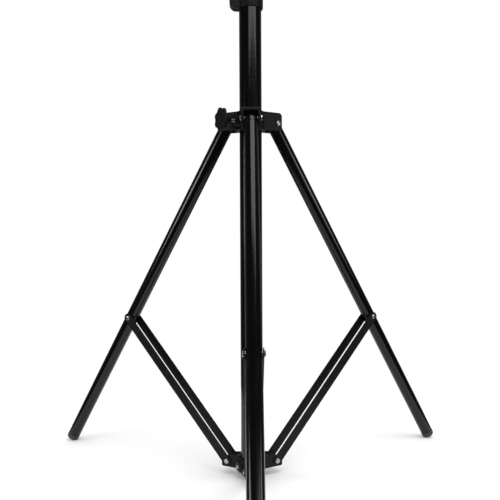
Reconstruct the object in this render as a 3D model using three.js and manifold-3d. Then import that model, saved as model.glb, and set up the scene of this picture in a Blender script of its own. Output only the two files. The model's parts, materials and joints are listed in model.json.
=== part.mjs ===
// Speaker tripod stand: a mast that slides in a column, a pinch clamp at the column's top,
// a sliding collar with three hinged legs, and a fixed lower collar with three pairs of braces.
// Millimetres, +Z up. The origin is the centre of the flat underside of the column's end cap.
// One leg points along -Y (front); the others stand 120 degrees round on each side.

import * as THREE from 'three';
import { mergeVertices } from 'three/addons/utils/BufferGeometryUtils.js';
import Module from 'manifold-3d';

const wasm = await Module();
wasm.setup();

// ---------------------------------------------------------------- driving dimensions
const GAP = 0.3;                 // running and assembly clearance between pieces
const COLUMN_R = 20.5;           // column tube, 41 mm outside
const COLUMN_WALL = 1.5;
const MAST_R = 17.5;             // mast tube, 35 mm outside, the standard speaker pole
const MAST_WALL = 1.5;
const LEG_R = 12.5;              // leg tube, 25 mm outside
const LEG_WALL = 1.5;

const LEG_PIVOT_R = 49.5;        // radius of the leg hinges on the sliding collar
const BRACE_PIVOT_R = 47;        // radius of the brace hinges on the lower collar
const BRACE_PIVOT_Z = 20;
const LEG_UPPER = 443.4;         // leg hinge to brace joint, along the leg
const BRACE_LENGTH = 349.5;      // lower hinge to brace joint
const LEG_SPREAD = THREE.MathUtils.degToRad(31.92);   // leg angle from vertical, spread
const FLOOR_Z = -5;              // the feet reach this far below the column's foot

const CLAMP_BOTTOM_Z = 861;
const CLAMP_SOCKET = 18;         // how far the column goes into the clamp
const CLAMP_TOP_Z = 935;
const MAST_BOTTOM_Z = 60;
const MAST_TOP_Z = 1000;

const PIN_R = 3;                 // rivets and hinge bolts, 6 mm
const KNOB_AZIMUTH = -Math.PI / 3;   // the collar knob and screws sit between two legs

// Facets round a full turn: large tubes, middling rounds, and small fasteners.
const COARSE = 36;
const MEDIUM = 24;
const FINE = 12;
const HOLE_SEGMENTS = 8;         // for each round hole in an extruded plate
const CORNER_SEGMENTS = 5;       // for each rounded corner of an extruded plate

// Cutting and joining aids, which leave no size of their own on the finished pieces.
const ARM_ROOT = 15;             // arms and bosses start this near the axis, inside their ring
const OVER = 1;                  // a cutter runs this far past the faces it opens
const THROUGH = 25;              // half length of a cutter for a cross hole
const POCKET = 60;               // side of a box that opens a yoke out to its end and top

// Worked out: brace angle and hinge height that close the linkage when the legs are spread.
const JOINT_R = LEG_PIVOT_R + LEG_UPPER * Math.sin(LEG_SPREAD);
const BRACE_SPREAD = Math.asin((JOINT_R - BRACE_PIVOT_R) / BRACE_LENGTH);
const LEG_PIVOT_Z = BRACE_PIVOT_Z + BRACE_LENGTH * Math.cos(BRACE_SPREAD)
  + LEG_UPPER * Math.cos(LEG_SPREAD);

const LEGS = { front: 0, right: 2 * Math.PI / 3, left: -2 * Math.PI / 3 };

// ---------------------------------------------------------------- materials
const finish = (color, roughness, metalness) =>
  new THREE.MeshStandardMaterial({ color, roughness, metalness });
const glossPaint = () => finish(0x101012, 0.28, 0.0);
const satinPaint = () => finish(0x232323, 0.5, 0.2);
const blackPlastic = () => finish(0x17181a, 0.55, 0.0);
const rubber = () => finish(0x1f1f20, 0.75, 0.0);
const zinc = () => finish(0xc9cacc, 0.3, 1.0);

// ---------------------------------------------------------------- geometry helpers
const V2 = (x, y) => new THREE.Vector2(x, y);
const ring = (radius, angle) => V2(radius * Math.cos(angle), radius * Math.sin(angle));
const roundHole = (x, y, radius) => new THREE.Path().absarc(x, y, radius, 0, 2 * Math.PI, true);

// Solid of revolution about +Z from [radius, height] points, listed anticlockwise.
function turned(points, segments = MEDIUM) {
  return new THREE.LatheGeometry(points.map(([r, z]) => V2(r, z)), segments).rotateX(Math.PI / 2);
}

// Hollow cylinder about +Z.
function sleeve(inner, outer, low, high, segments = MEDIUM) {
  return turned([[inner, low], [outer, low], [outer, high], [inner, high], [inner, low]], segments);
}

// Solid cylinder about +Z.
function rod(radius, low, high, segments = MEDIUM) {
  return turned([[0, low], [radius, low], [radius, high], [0, high]], segments);
}

// Six-sided bar about +Z, with an optional round hole through it.
function hexBar(acrossFlats, low, high, holeRadius = 0) {
  const corner = acrossFlats / Math.sqrt(3);
  const corners = [0, 1, 2, 3, 4, 5].map((i) => ring(corner, i * Math.PI / 3));
  const outline = new THREE.Shape(corners);
  if (holeRadius) outline.holes.push(roundHole(0, 0, holeRadius));
  const bar = new THREE.ExtrudeGeometry(outline, {
    depth: high - low, bevelEnabled: false, curveSegments: HOLE_SEGMENTS,
  });
  return bar.translate(0, 0, low);
}

// Turns a shape made about +Z so that it lies along +X, or along the outward -Y direction.
const alongX = (geometry) => geometry.rotateY(Math.PI / 2);
const outward = (geometry) => geometry.rotateX(Math.PI / 2);

// Plate cut from an outline of (distance from the column axis, height), lying in the plane of
// one leg and spreading evenly over a width in X.
function legPlate(outline, width) {
  const plate = new THREE.ExtrudeGeometry(outline, {
    depth: width, bevelEnabled: false, curveSegments: CORNER_SEGMENTS,
  });
  plate.translate(0, 0, -width / 2);
  const axes = [new THREE.Vector3(0, -1, 0), new THREE.Vector3(0, 0, 1), new THREE.Vector3(-1, 0, 0)];
  return plate.applyMatrix4(new THREE.Matrix4().makeBasis(...axes));
}

// Rectangle with its own radius at each outer corner; the inner edge stays square.
function sideOutline(inner, outer, low, high, lowRadius, highRadius) {
  const outline = new THREE.Shape();
  outline.moveTo(inner, low);
  outline.lineTo(outer - lowRadius, low);
  outline.absarc(outer - lowRadius, low + lowRadius, lowRadius, -Math.PI / 2, 0);
  outline.lineTo(outer, high - highRadius);
  outline.absarc(outer - highRadius, high - highRadius, highRadius, 0, Math.PI / 2);
  outline.lineTo(inner, high);
  outline.closePath();
  return outline;
}

const WELD = 1e-4;               // corners closer than this are one corner

// Booleans: a geometry becomes a solid, is joined or cut, and comes back as a geometry.
function solid(geometry) {
  const bare = geometry.clone();
  bare.deleteAttribute('normal');
  bare.deleteAttribute('uv');
  const merged = mergeVertices(bare, WELD);
  const corners = merged.index.array;
  const kept = [];
  for (let i = 0; i < corners.length; i += 3) {
    const [a, b, c] = [corners[i], corners[i + 1], corners[i + 2]];
    if (a !== b && b !== c && c !== a) kept.push(a, b, c);
  }
  const mesh = new wasm.Mesh({
    numProp: 3,
    vertProperties: new Float32Array(merged.attributes.position.array),
    triVerts: new Uint32Array(kept),
  });
  return new wasm.Manifold(mesh);
}

function carve(joined, cuts = []) {
  let body = joined.map(solid).reduce((sum, next) => sum.add(next));
  for (const cut of cuts) body = body.subtract(solid(cut));
  const { vertProperties, triVerts } = body.getMesh();
  const geometry = new THREE.BufferGeometry();
  geometry.setAttribute('position', new THREE.BufferAttribute(vertProperties, 3));
  geometry.setIndex(new THREE.BufferAttribute(triVerts, 1));
  geometry.computeVertexNormals();
  return geometry;
}

function piece(parent, name, geometry, material) {
  const mesh = new THREE.Mesh(geometry, material);
  mesh.name = name;
  parent.add(mesh);
  return mesh;
}

// Group turned about the column axis, with its own origin at (0, -radius, height).
function station(parent, azimuth, radius = 0, height = 0, tilt = 0) {
  const turn = new THREE.Group();
  turn.rotation.z = azimuth;
  const spot = new THREE.Group();
  spot.position.set(0, -radius, height);
  spot.rotation.x = tilt;
  turn.add(spot);
  parent.add(turn);
  return spot;
}

const threeTimes = (make) => Object.values(LEGS).flatMap(
  (azimuth) => make().map((geometry) => geometry.rotateZ(azimuth)),
);

const stand = new THREE.Group();

// ---------------------------------------------------------------- fastener shapes
const HEAD_R = 5;
const HEAD_HEIGHT = 2.4;
const HEAD_EDGE = 0.6;           // straight rim under the dome
const DOME_STEPS = 3;
const TIP_LENGTH = 1;            // tapered end of a screw or bolt
const TIP_TAPER = 0.8;

// Domed head on top of a plane at the given height, as turned points ending on the axis.
function domePoints(base, radius = HEAD_R, height = HEAD_HEIGHT) {
  const points = [[radius, base], [radius, base + HEAD_EDGE]];
  for (let i = 1; i <= DOME_STEPS; i += 1) {
    const angle = i / DOME_STEPS * Math.PI / 2;
    const rise = (height - HEAD_EDGE) * Math.sin(angle);
    points.push([i === DOME_STEPS ? 0 : radius * Math.cos(angle), base + HEAD_EDGE + rise]);
  }
  return points;
}

// Rivet about +Z with a domed head at each end of a shank.
function rivet(halfGrip) {
  const top = domePoints(halfGrip);
  const bottom = top.map(([r, z]) => [r, -z]).reverse();
  return turned([...bottom, [PIN_R, -halfGrip], [PIN_R, halfGrip], ...top], FINE);
}

// One end of a rivet about +Z: a stub in a strip's hole, with its head outside the strip.
function rivetEnd(inner, base) {
  return turned([[0, inner], [PIN_R, inner], [PIN_R, base], ...domePoints(base)], FINE);
}

// Bolt about +Z: domed head below, plain shank up to a chamfered tip.
function domedBolt(radius, headBase, tip, headRadius, headHeight) {
  const head = domePoints(headBase, headRadius, headHeight).map(([r, z]) => [r, -z]).reverse();
  return turned([
    ...head, [radius, -headBase], [radius, tip - TIP_LENGTH], [radius - TIP_TAPER, tip], [0, tip],
  ], FINE);
}

// ---------------------------------------------------------------- star knob
const KNOB_R = 22.5;
const KNOB_LOBES = 7;
const KNOB_LOBE_DEPTH = 3.4;
const KNOB_RIM = 7;              // thickness of the lobed rim
const KNOB_BEVEL = 1.5;
const KNOB_HUB_R = 9;
const KNOB_FLARE = 4;            // the hub widens by this much under the rim
const STEPS_PER_LOBE = 6;

// Knob about +Z: a hub from `low`, a lobed rim above it, and a blind hole from below.
function starKnob(low, hubLength, holeRadius, holeDepth) {
  const points = [];
  const steps = KNOB_LOBES * STEPS_PER_LOBE;
  for (let i = 0; i < steps; i += 1) {
    const angle = i / steps * 2 * Math.PI;
    const dip = KNOB_LOBE_DEPTH * (1 - Math.cos(KNOB_LOBES * angle)) / 2;
    points.push(ring(KNOB_R - KNOB_BEVEL - dip, angle));
  }
  const rim = new THREE.ExtrudeGeometry(new THREE.Shape(points), {
    depth: KNOB_RIM - 2 * KNOB_BEVEL,
    bevelThickness: KNOB_BEVEL,
    bevelSize: KNOB_BEVEL,
    bevelSegments: 1,
  });
  const rimLow = low + hubLength;
  rim.translate(0, 0, rimLow + KNOB_BEVEL);
  const hub = turned([
    [0, low], [KNOB_HUB_R - 1, low], [KNOB_HUB_R, low + 1], [KNOB_HUB_R, rimLow - KNOB_FLARE + 1],
    [KNOB_HUB_R + KNOB_FLARE, rimLow + 1], [0, rimLow + 1],
  ], MEDIUM);
  return carve([rim, hub], [rod(holeRadius, low - OVER, low + holeDepth, FINE)]);
}

// ---------------------------------------------------------------- column
const COLUMN_TOP_Z = CLAMP_BOTTOM_Z + CLAMP_SOCKET;
const CAP_FLANGE = 2.7;
const CAP_CHAMFER = 0.8;
const CAP_PLUG_TOP = 22;
const CAP_PLUG_TAPER = 1.5;
const CAP_PLUG_WALL = 4;
const CAP_FLOOR = 6;

piece(stand, 'outer_tube',
  sleeve(COLUMN_R - COLUMN_WALL, COLUMN_R, CAP_FLANGE + GAP, COLUMN_TOP_Z, COARSE), glossPaint());

const capPlugR = COLUMN_R - COLUMN_WALL - GAP;
piece(stand, 'column_end_cap', turned([
  [0, 0], [COLUMN_R - CAP_CHAMFER, 0], [COLUMN_R, CAP_CHAMFER], [COLUMN_R, CAP_FLANGE],
  [capPlugR, CAP_FLANGE], [capPlugR, CAP_PLUG_TOP - CAP_PLUG_TAPER],
  [capPlugR - CAP_PLUG_TAPER, CAP_PLUG_TOP], [capPlugR - CAP_PLUG_WALL, CAP_PLUG_TOP],
  [capPlugR - CAP_PLUG_WALL, CAP_FLOOR], [0, CAP_FLOOR],
], COARSE), blackPlastic());

// ---------------------------------------------------------------- lower collar
const BRACE_THICKNESS = 1.5;
const BRACE_INNER = 13.2;      // half the clear width between the two strips of a brace
const BRACE_OUTER = BRACE_INNER + BRACE_THICKNESS;
const LOWER_BOTTOM_Z = 9;
const LOWER_TOP_Z = 33;          // top of the cheeks
const LOWER_RING_TOP_Z = 29;
const LOWER_WALL = 4.2;          // ring round the column
const LOWER_REACH = 59;
const LOWER_CHEEK_OUTER = BRACE_INNER - GAP;
const LOWER_CHEEK_INNER = LOWER_CHEEK_OUTER - 3;
const LOWER_POCKET_INNER = 30;
const LOWER_CHAMFER = 2;
const LOWER_CORNER = 6;
const LOWER_SHOULDER = BRACE_PIVOT_R - 14;   // the top edge slopes down from here
const LOWER_WEB = 3.5;           // floor plate that joins the two cheeks
const LOWER_BOSS_R = 13;
const LOWER_BOSS_SHOULDER = { radius: 12, reach: 28 };
const LOWER_BOSS_TIP_R = 8.6;
const LOWER_BOSS_WIDE = 24;      // how far out the boss keeps its full radius
const LOWER_BOSS_REACH = 31;
const LOWER_BOSS_Z = 19;
const SET_SCREW_R = 2.5;
const SET_SCREW_HEAD = { radius: 4.4, height: 3, socket: 3, floor: 1 };

function lowerYoke() {
  const outline = new THREE.Shape();
  const cornerZ = BRACE_PIVOT_Z + 4;
  outline.moveTo(ARM_ROOT, LOWER_BOTTOM_Z);
  outline.lineTo(LOWER_REACH - LOWER_CHAMFER, LOWER_BOTTOM_Z);
  outline.lineTo(LOWER_REACH, LOWER_BOTTOM_Z + LOWER_CHAMFER);
  outline.lineTo(LOWER_REACH, cornerZ);
  outline.absarc(LOWER_REACH - LOWER_CORNER, cornerZ, LOWER_CORNER, 0, Math.PI / 3);
  outline.lineTo(LOWER_SHOULDER, LOWER_TOP_Z);
  outline.lineTo(ARM_ROOT, LOWER_TOP_Z);
  outline.closePath();
  return [legPlate(outline, 2 * LOWER_CHEEK_OUTER)];
}

function lowerYokeCuts() {
  const pocket = new THREE.BoxGeometry(2 * LOWER_CHEEK_INNER, POCKET, POCKET);
  pocket.translate(0, -LOWER_POCKET_INNER - POCKET / 2, LOWER_BOTTOM_Z + LOWER_WEB + POCKET / 2);
  const hole = alongX(rod(PIN_R + GAP, -THROUGH, THROUGH, FINE));
  return [pocket, hole.translate(0, -BRACE_PIVOT_R, BRACE_PIVOT_Z)];
}

const radial = (geometry, height) => outward(geometry).rotateZ(KNOB_AZIMUTH).translate(0, 0, height);

const lowerBoss = turned([
  [0, ARM_ROOT], [LOWER_BOSS_R, ARM_ROOT], [LOWER_BOSS_R, LOWER_BOSS_WIDE],
  [LOWER_BOSS_SHOULDER.radius, LOWER_BOSS_SHOULDER.reach],
  [LOWER_BOSS_TIP_R, LOWER_BOSS_REACH], [0, LOWER_BOSS_REACH],
], MEDIUM);

piece(stand, 'lower_collar', carve(
  [
    rod(COLUMN_R + LOWER_WALL, LOWER_BOTTOM_Z, LOWER_RING_TOP_Z, COARSE),
    ...threeTimes(lowerYoke),
    radial(lowerBoss, LOWER_BOSS_Z),
  ],
  [
    rod(COLUMN_R + GAP, LOWER_BOSS_Z - LOWER_BOSS_R - OVER, LOWER_TOP_Z + OVER, COARSE),
    ...threeTimes(lowerYokeCuts),
    radial(rod(SET_SCREW_R + GAP, ARM_ROOT, LOWER_BOSS_REACH + OVER, FINE), LOWER_BOSS_Z),
  ],
), satinPaint());

// The screw that holds the lower collar: pan head with a hexagon socket, point near the tube.
const setScrew = station(stand, KNOB_AZIMUTH, 0, LOWER_BOSS_Z);
const setScrewBase = LOWER_BOSS_REACH + GAP;
const setScrewTip = COLUMN_R + GAP;
piece(setScrew, 'lower_collar_screw', outward(carve(
  [turned([
    [0, setScrewTip], [SET_SCREW_R, setScrewTip + TIP_LENGTH], [SET_SCREW_R, setScrewBase],
    ...domePoints(setScrewBase, SET_SCREW_HEAD.radius, SET_SCREW_HEAD.height),
  ], FINE)],
  [hexBar(
    SET_SCREW_HEAD.socket,
    setScrewBase + SET_SCREW_HEAD.floor,
    setScrewBase + SET_SCREW_HEAD.height + OVER,
  )],
)), zinc());

for (const [side, azimuth] of Object.entries(LEGS)) {
  const hinge = station(stand, azimuth, BRACE_PIVOT_R, BRACE_PIVOT_Z);
  piece(hinge, `lower_rivet_${side}`, alongX(rivet(BRACE_OUTER + GAP)), zinc());
}

// ---------------------------------------------------------------- mast clamp
const CLAMP_R = 23.8;
const CLAMP_BORE = COLUMN_R + GAP;
const EAR_REACH = 38;            // the pinch ears stand out along -X
const EAR_HALF = 13;             // half the width over both ears, along Y
const EAR_SLIT = 3;
const EAR_LOW_CORNER = 12;
const EAR_HIGH_CORNER = 8;
const FIXING_BOLT = { x: -25, z: CLAMP_BOTTOM_Z + 21, radius: 2.5, reach: EAR_HALF + 6 };
const FIXING_HEAD = { radius: 4.2, height: 3 };
const FIXING_NUT = { flats: 8, height: 4 };
const CLAMP_BOLT = { x: -29, z: CLAMP_BOTTOM_Z + 55, radius: 4 };
const CLAMP_HEAD = { flats: 13, height: 5.3 };
const CLAMP_WASHER = { radius: 8, thickness: 1.6 };
const CLAMP_KNOB_HUB = 12;
const CLAMP_THREAD = 16;         // thread standing out past the washer, inside the knob

// Turns a shape made about +Z so that it lies along +Y on one of the clamp's bolts.
const onBolt = (geometry, bolt) => geometry.rotateX(-Math.PI / 2).translate(bolt.x, 0, bolt.z);

const earOutline = sideOutline(
  ARM_ROOT, EAR_REACH, CLAMP_BOTTOM_Z, CLAMP_TOP_Z, EAR_LOW_CORNER, EAR_HIGH_CORNER,
);
const ears = legPlate(earOutline, 2 * EAR_HALF).rotateZ(-Math.PI / 2);
const slit = new THREE.BoxGeometry(EAR_REACH, EAR_SLIT, 2 * (CLAMP_TOP_Z - CLAMP_BOTTOM_Z));
slit.translate(-ARM_ROOT - EAR_REACH / 2, 0, (CLAMP_TOP_Z + CLAMP_BOTTOM_Z) / 2);
piece(stand, 'clamp_housing', carve(
  [rod(CLAMP_R, CLAMP_BOTTOM_Z, CLAMP_TOP_Z, COARSE), ears],
  [
    rod(CLAMP_BORE, CLAMP_BOTTOM_Z - OVER, CLAMP_TOP_Z + OVER, COARSE), slit,
    onBolt(rod(FIXING_BOLT.radius + GAP, -THROUGH, THROUGH, FINE), FIXING_BOLT),
    onBolt(rod(CLAMP_BOLT.radius + GAP, -THROUGH, THROUGH, FINE), CLAMP_BOLT),
  ],
), satinPaint());

const bushingLip = CLAMP_TOP_Z + GAP;
const bushingTop = bushingLip + 1.8;
const bushingLipR = CLAMP_R - 1;
piece(stand, 'clamp_bushing', turned([
  [MAST_R + GAP, COLUMN_TOP_Z + GAP], [COLUMN_R, COLUMN_TOP_Z + GAP], [COLUMN_R, bushingLip],
  [bushingLipR, bushingLip], [bushingLipR, bushingTop - CAP_CHAMFER],
  [bushingLipR - CAP_CHAMFER, bushingTop], [MAST_R + GAP, bushingTop],
  [MAST_R + GAP, COLUMN_TOP_Z + GAP],
], COARSE), blackPlastic());

// Lower bolt: grips the column tube. Domed head in front, nut behind.
const earFace = EAR_HALF + GAP;
const fixingBolt = domedBolt(
  FIXING_BOLT.radius, earFace, FIXING_BOLT.reach, FIXING_HEAD.radius, FIXING_HEAD.height,
);
piece(stand, 'clamp_fixing_bolt', onBolt(fixingBolt, FIXING_BOLT), zinc());
const fixingNut = hexBar(
  FIXING_NUT.flats, earFace, earFace + FIXING_NUT.height, FIXING_BOLT.radius + GAP,
);
piece(stand, 'clamp_fixing_nut', onBolt(fixingNut, FIXING_BOLT), zinc());

// Upper bolt: its hexagon head stays in front; the star knob on its thread pinches the ears.
const washerTop = earFace + CLAMP_WASHER.thickness;
const knobBase = washerTop + GAP;
const threadEnd = knobBase + CLAMP_THREAD;
const clampHole = CLAMP_BOLT.radius + GAP;
const clampBolt = carve([
  hexBar(CLAMP_HEAD.flats, -earFace - CLAMP_HEAD.height, -earFace),
  turned([
    [0, -earFace - OVER], [CLAMP_BOLT.radius, -earFace - OVER],
    [CLAMP_BOLT.radius, threadEnd - TIP_LENGTH], [CLAMP_BOLT.radius - TIP_TAPER, threadEnd],
    [0, threadEnd],
  ], FINE),
]);
const clampWasher = sleeve(clampHole, CLAMP_WASHER.radius, earFace, washerTop, MEDIUM);
const clampKnob = starKnob(knobBase, CLAMP_KNOB_HUB, clampHole, CLAMP_THREAD + 1);
piece(stand, 'clamp_bolt', onBolt(clampBolt, CLAMP_BOLT), zinc());
piece(stand, 'clamp_washer', onBolt(clampWasher, CLAMP_BOLT), zinc());
piece(stand, 'clamp_knob', onBolt(clampKnob, CLAMP_BOLT), blackPlastic());

// ---------------------------------------------------------------- mast
const MAST_PLUG_DEPTH = 18;
const MAST_CAP_HEIGHT = 3.4;
const GLIDE_DROP = 15;           // how far the glide shows below the mast tube
const GLIDE_PLUG = 25;           // and how far it goes up inside it
const GLIDE_BORE = 8;
const LEAD = 1;                  // chamfer that leads a plug into its tube
const mastBore = MAST_R - MAST_WALL - GAP;
const mastSleeve = sleeve(MAST_R - MAST_WALL, MAST_R, MAST_BOTTOM_Z, MAST_TOP_Z, COARSE);
piece(stand, 'mast_tube', mastSleeve, glossPaint());
const plugLow = MAST_TOP_Z - MAST_PLUG_DEPTH;
const mastCapTop = MAST_TOP_Z + MAST_CAP_HEIGHT;
piece(stand, 'mast_top_cap', turned([
  [0, plugLow], [mastBore - LEAD, plugLow], [mastBore, plugLow + LEAD],
  [mastBore, MAST_TOP_Z + GAP], [MAST_R, MAST_TOP_Z + GAP], [MAST_R, mastCapTop - LEAD],
  [MAST_R - LEAD, mastCapTop], [0, mastCapTop],
], COARSE), blackPlastic());
const glideR = COLUMN_R - COLUMN_WALL - GAP;
const glideLow = MAST_BOTTOM_Z - GLIDE_DROP;
const glideHigh = MAST_BOTTOM_Z + GLIDE_PLUG;
piece(stand, 'mast_glide', turned([
  [GLIDE_BORE, glideLow], [glideR - LEAD, glideLow], [glideR, glideLow + LEAD],
  [glideR, MAST_BOTTOM_Z - GAP], [mastBore, MAST_BOTTOM_Z - GAP], [mastBore, glideHigh - LEAD],
  [mastBore - LEAD, glideHigh], [GLIDE_BORE, glideHigh], [GLIDE_BORE, glideLow],
], COARSE), blackPlastic());

// ---------------------------------------------------------------- sliding leg collar
const COLLAR_LOW = LEG_PIVOT_Z - 13.5;
const COLLAR_HIGH = LEG_PIVOT_Z + 20;
const COLLAR_R = 25;
const COLLAR_BORE = 22.5;
const YOKE_REACH = 58;
const YOKE_INNER = LEG_R + 0.6;
const YOKE_OUTER = 17.8;
const YOKE_BRIDGE = 7.6;         // thickness of the bridge over the top of each leg
const YOKE_POCKET_INNER = 29;
const YOKE_LOW_CORNER = 4;
const YOKE_HIGH_CORNER = 7;
const BUSHING_FLANGE = 2;        // the collar's bushing shows this far below it and past it
const BOSS_Z = LEG_PIVOT_Z + 1;
const BOSS_R = 9.5;
const BOSS_REACH = 35;
const LOCK_SCREW_R = 3;
const PAD_R = 4.9;
const PAD_FACE = COLUMN_R + GAP + 0.1;
const PAD_BACK = PAD_FACE + 3;
const PAD_ROOM = 3.5;            // room behind the pad for it to back off
const NUT_SEAT = 29.8;           // outer end of the boss holds a six-sided nut
const NUT_FLATS = 10;

function yoke() {
  const outline = sideOutline(
    ARM_ROOT, YOKE_REACH, COLLAR_LOW, COLLAR_HIGH, YOKE_LOW_CORNER, YOKE_HIGH_CORNER,
  );
  return [legPlate(outline, 2 * YOKE_OUTER)];
}

function yokeCuts() {
  const pocketTop = COLLAR_HIGH - YOKE_BRIDGE;
  const pocket = new THREE.BoxGeometry(2 * YOKE_INNER, POCKET, POCKET);
  pocket.translate(0, -YOKE_POCKET_INNER - POCKET / 2, pocketTop - POCKET / 2);
  const hole = alongX(rod(PIN_R + GAP, -THROUGH, THROUGH, FINE));
  return [pocket, hole.translate(0, -LEG_PIVOT_R, LEG_PIVOT_Z)];
}

piece(stand, 'leg_collar', carve(
  [
    rod(COLLAR_R, COLLAR_LOW, COLLAR_HIGH, COARSE), ...threeTimes(yoke),
    radial(rod(BOSS_R, ARM_ROOT, BOSS_REACH, MEDIUM), BOSS_Z),
  ],
  [
    rod(COLLAR_BORE, COLLAR_LOW - OVER, COLLAR_HIGH + OVER, COARSE), ...threeTimes(yokeCuts),
    radial(rod(PAD_R + GAP, ARM_ROOT, PAD_BACK + PAD_ROOM, FINE), BOSS_Z),
    radial(rod(LOCK_SCREW_R + GAP, ARM_ROOT, BOSS_REACH + OVER, FINE), BOSS_Z),
    radial(hexBar(NUT_FLATS + 2 * GAP, NUT_SEAT, BOSS_REACH + OVER), BOSS_Z),
  ],
), blackPlastic());

const flangeLow = COLLAR_LOW - BUSHING_FLANGE;
const flangeR = COLLAR_R + BUSHING_FLANGE;
piece(stand, 'collar_bushing', carve(
  [turned([
    [COLUMN_R + GAP, flangeLow], [flangeR, flangeLow], [flangeR, COLLAR_LOW - GAP],
    [COLLAR_BORE - GAP, COLLAR_LOW - GAP], [COLLAR_BORE - GAP, COLLAR_HIGH],
    [COLUMN_R + GAP, COLLAR_HIGH], [COLUMN_R + GAP, flangeLow],
  ], COARSE)],
  [radial(rod(PAD_R + GAP, ARM_ROOT, NUT_SEAT, FINE), BOSS_Z)],
), blackPlastic());

// Lock: the knob turns the screw in the nut, and the screw pushes the pad on to the column.
const lock = station(stand, KNOB_AZIMUTH, 0, BOSS_Z);
const KNOB_HUB_START = 45;
const LOCK_KNOB_HUB = 13;
const LOCK_SCREW_SEAT = 14;      // how deep the screw sits in the knob
const lockNut = hexBar(NUT_FLATS, NUT_SEAT + GAP, BOSS_REACH, LOCK_SCREW_R + GAP);
const screwTip = PAD_BACK + GAP;
const screwEnd = KNOB_HUB_START + LOCK_SCREW_SEAT;
const lockScrew = turned([
  [0, screwTip], [LOCK_SCREW_R - TIP_TAPER, screwTip], [LOCK_SCREW_R, screwTip + TIP_LENGTH],
  [LOCK_SCREW_R, screwEnd], [0, screwEnd],
], FINE);
const lockKnob = starKnob(
  KNOB_HUB_START, LOCK_KNOB_HUB, LOCK_SCREW_R + GAP, LOCK_SCREW_SEAT + 1,
);
piece(lock, 'lock_nut', outward(lockNut), zinc());
piece(lock, 'lock_pad', outward(rod(PAD_R, PAD_FACE, PAD_BACK, FINE)), blackPlastic());
piece(lock, 'lock_screw', outward(lockScrew), zinc());
piece(lock, 'lock_knob', outward(lockKnob), blackPlastic());

// ---------------------------------------------------------------- legs and their hinges
const FOOT_R = LEG_R + 0.2;
const FOOT_CORNER = 5;
const FOOT_DOME = 0.8;           // the cap's end bulges by this much
const FOOT_BARREL = 12;          // length of the cap that shows below the tube
const FOOT_PLUG = 18;            // and of the part inside the tube
const PLUG_SHOULDER = 14;        // the hinge plug shows this far below the hinge
const PLUG_DEPTH = 26;           // and goes this far on into the tube
const PLUG_ROUND = 7;            // its round end starts this far below the hinge
const PLUG_ROUND_STEPS = 6;
const ROUND_STEPS = 4;
const BUSH_R = 4.5;
const HINGE_NUT = { flats: 9, height: 2.2 };
const HINGE_BOLT_REACH = YOKE_OUTER + 3;
// Distance along the leg from its hinge to the flat of the cap, so that the cap's rounded
// corner just touches the floor.
const LEG_END = FOOT_CORNER + (LEG_PIVOT_Z - FLOOR_Z - FOOT_CORNER
  - (FOOT_R - FOOT_CORNER) * Math.sin(LEG_SPREAD)) / Math.cos(LEG_SPREAD);
const plugR = LEG_R - LEG_WALL - GAP;

function footCap() {
  const points = [[0, -LEG_END - FOOT_DOME], [FOOT_R - FOOT_CORNER, -LEG_END]];
  for (let i = 1; i <= ROUND_STEPS; i += 1) {
    const angle = i / ROUND_STEPS * Math.PI / 2;
    points.push([
      FOOT_R - FOOT_CORNER + FOOT_CORNER * Math.sin(angle),
      -LEG_END + FOOT_CORNER * (1 - Math.cos(angle)),
    ]);
  }
  const top = -LEG_END + FOOT_BARREL;
  const plugTop = top + FOOT_PLUG;
  return turned([...points, [FOOT_R, top], [plugR, top], [plugR, plugTop], [0, plugTop]], MEDIUM);
}

function hingePlug() {
  const round = [];
  for (let i = 0; i < PLUG_ROUND_STEPS; i += 1) {
    const angle = i / PLUG_ROUND_STEPS * Math.PI / 2;
    round.push([LEG_R * Math.cos(angle), LEG_R * Math.sin(angle) - PLUG_ROUND]);
  }
  const low = -PLUG_SHOULDER - PLUG_DEPTH;
  const body = turned([
    [0, low], [plugR, low], [plugR, -PLUG_SHOULDER], [LEG_R, -PLUG_SHOULDER], ...round,
    [0, LEG_R - PLUG_ROUND],
  ], MEDIUM);
  return carve([body], [alongX(rod(PIN_R + GAP, -THROUGH, THROUGH, FINE))]);
}

// The bolt's head is on one cheek of the yoke and its nut on the other.
const hingeFace = YOKE_OUTER + GAP;
function hingeBolt() {
  return alongX(domedBolt(PIN_R, hingeFace, HINGE_BOLT_REACH, HEAD_R, HEAD_HEIGHT));
}

for (const [side, azimuth] of Object.entries(LEGS)) {
  const leg = station(stand, azimuth, LEG_PIVOT_R, LEG_PIVOT_Z, -LEG_SPREAD);
  const tube = carve(
    [rod(LEG_R, -LEG_END + FOOT_BARREL + GAP, -PLUG_SHOULDER - GAP, MEDIUM)],
    [
      rod(LEG_R - LEG_WALL, -LEG_END, 0, MEDIUM),
      alongX(rod(BUSH_R + GAP, -THROUGH, THROUGH, FINE)).translate(0, 0, -LEG_UPPER),
    ],
  );
  piece(leg, `leg_tube_${side}`, tube, glossPaint());
  piece(leg, `leg_hinge_plug_${side}`, hingePlug(), glossPaint());
  piece(leg, `foot_cap_${side}`, footCap(), rubber());
  const bush = alongX(sleeve(PIN_R + GAP, BUSH_R, -BRACE_INNER + GAP, BRACE_INNER - GAP, FINE));
  piece(leg, `leg_bush_${side}`, bush, zinc()).position.z = -LEG_UPPER;

  const hinge = station(stand, azimuth, LEG_PIVOT_R, LEG_PIVOT_Z);
  piece(hinge, `leg_hinge_bolt_${side}`, hingeBolt(), zinc());
  const nut = hexBar(HINGE_NUT.flats, hingeFace, hingeFace + HINGE_NUT.height, PIN_R + GAP);
  piece(hinge, `leg_hinge_nut_${side}`, alongX(nut), zinc());
}

// ---------------------------------------------------------------- braces
const BRACE_HALF_WIDTH = 8.8;

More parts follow.
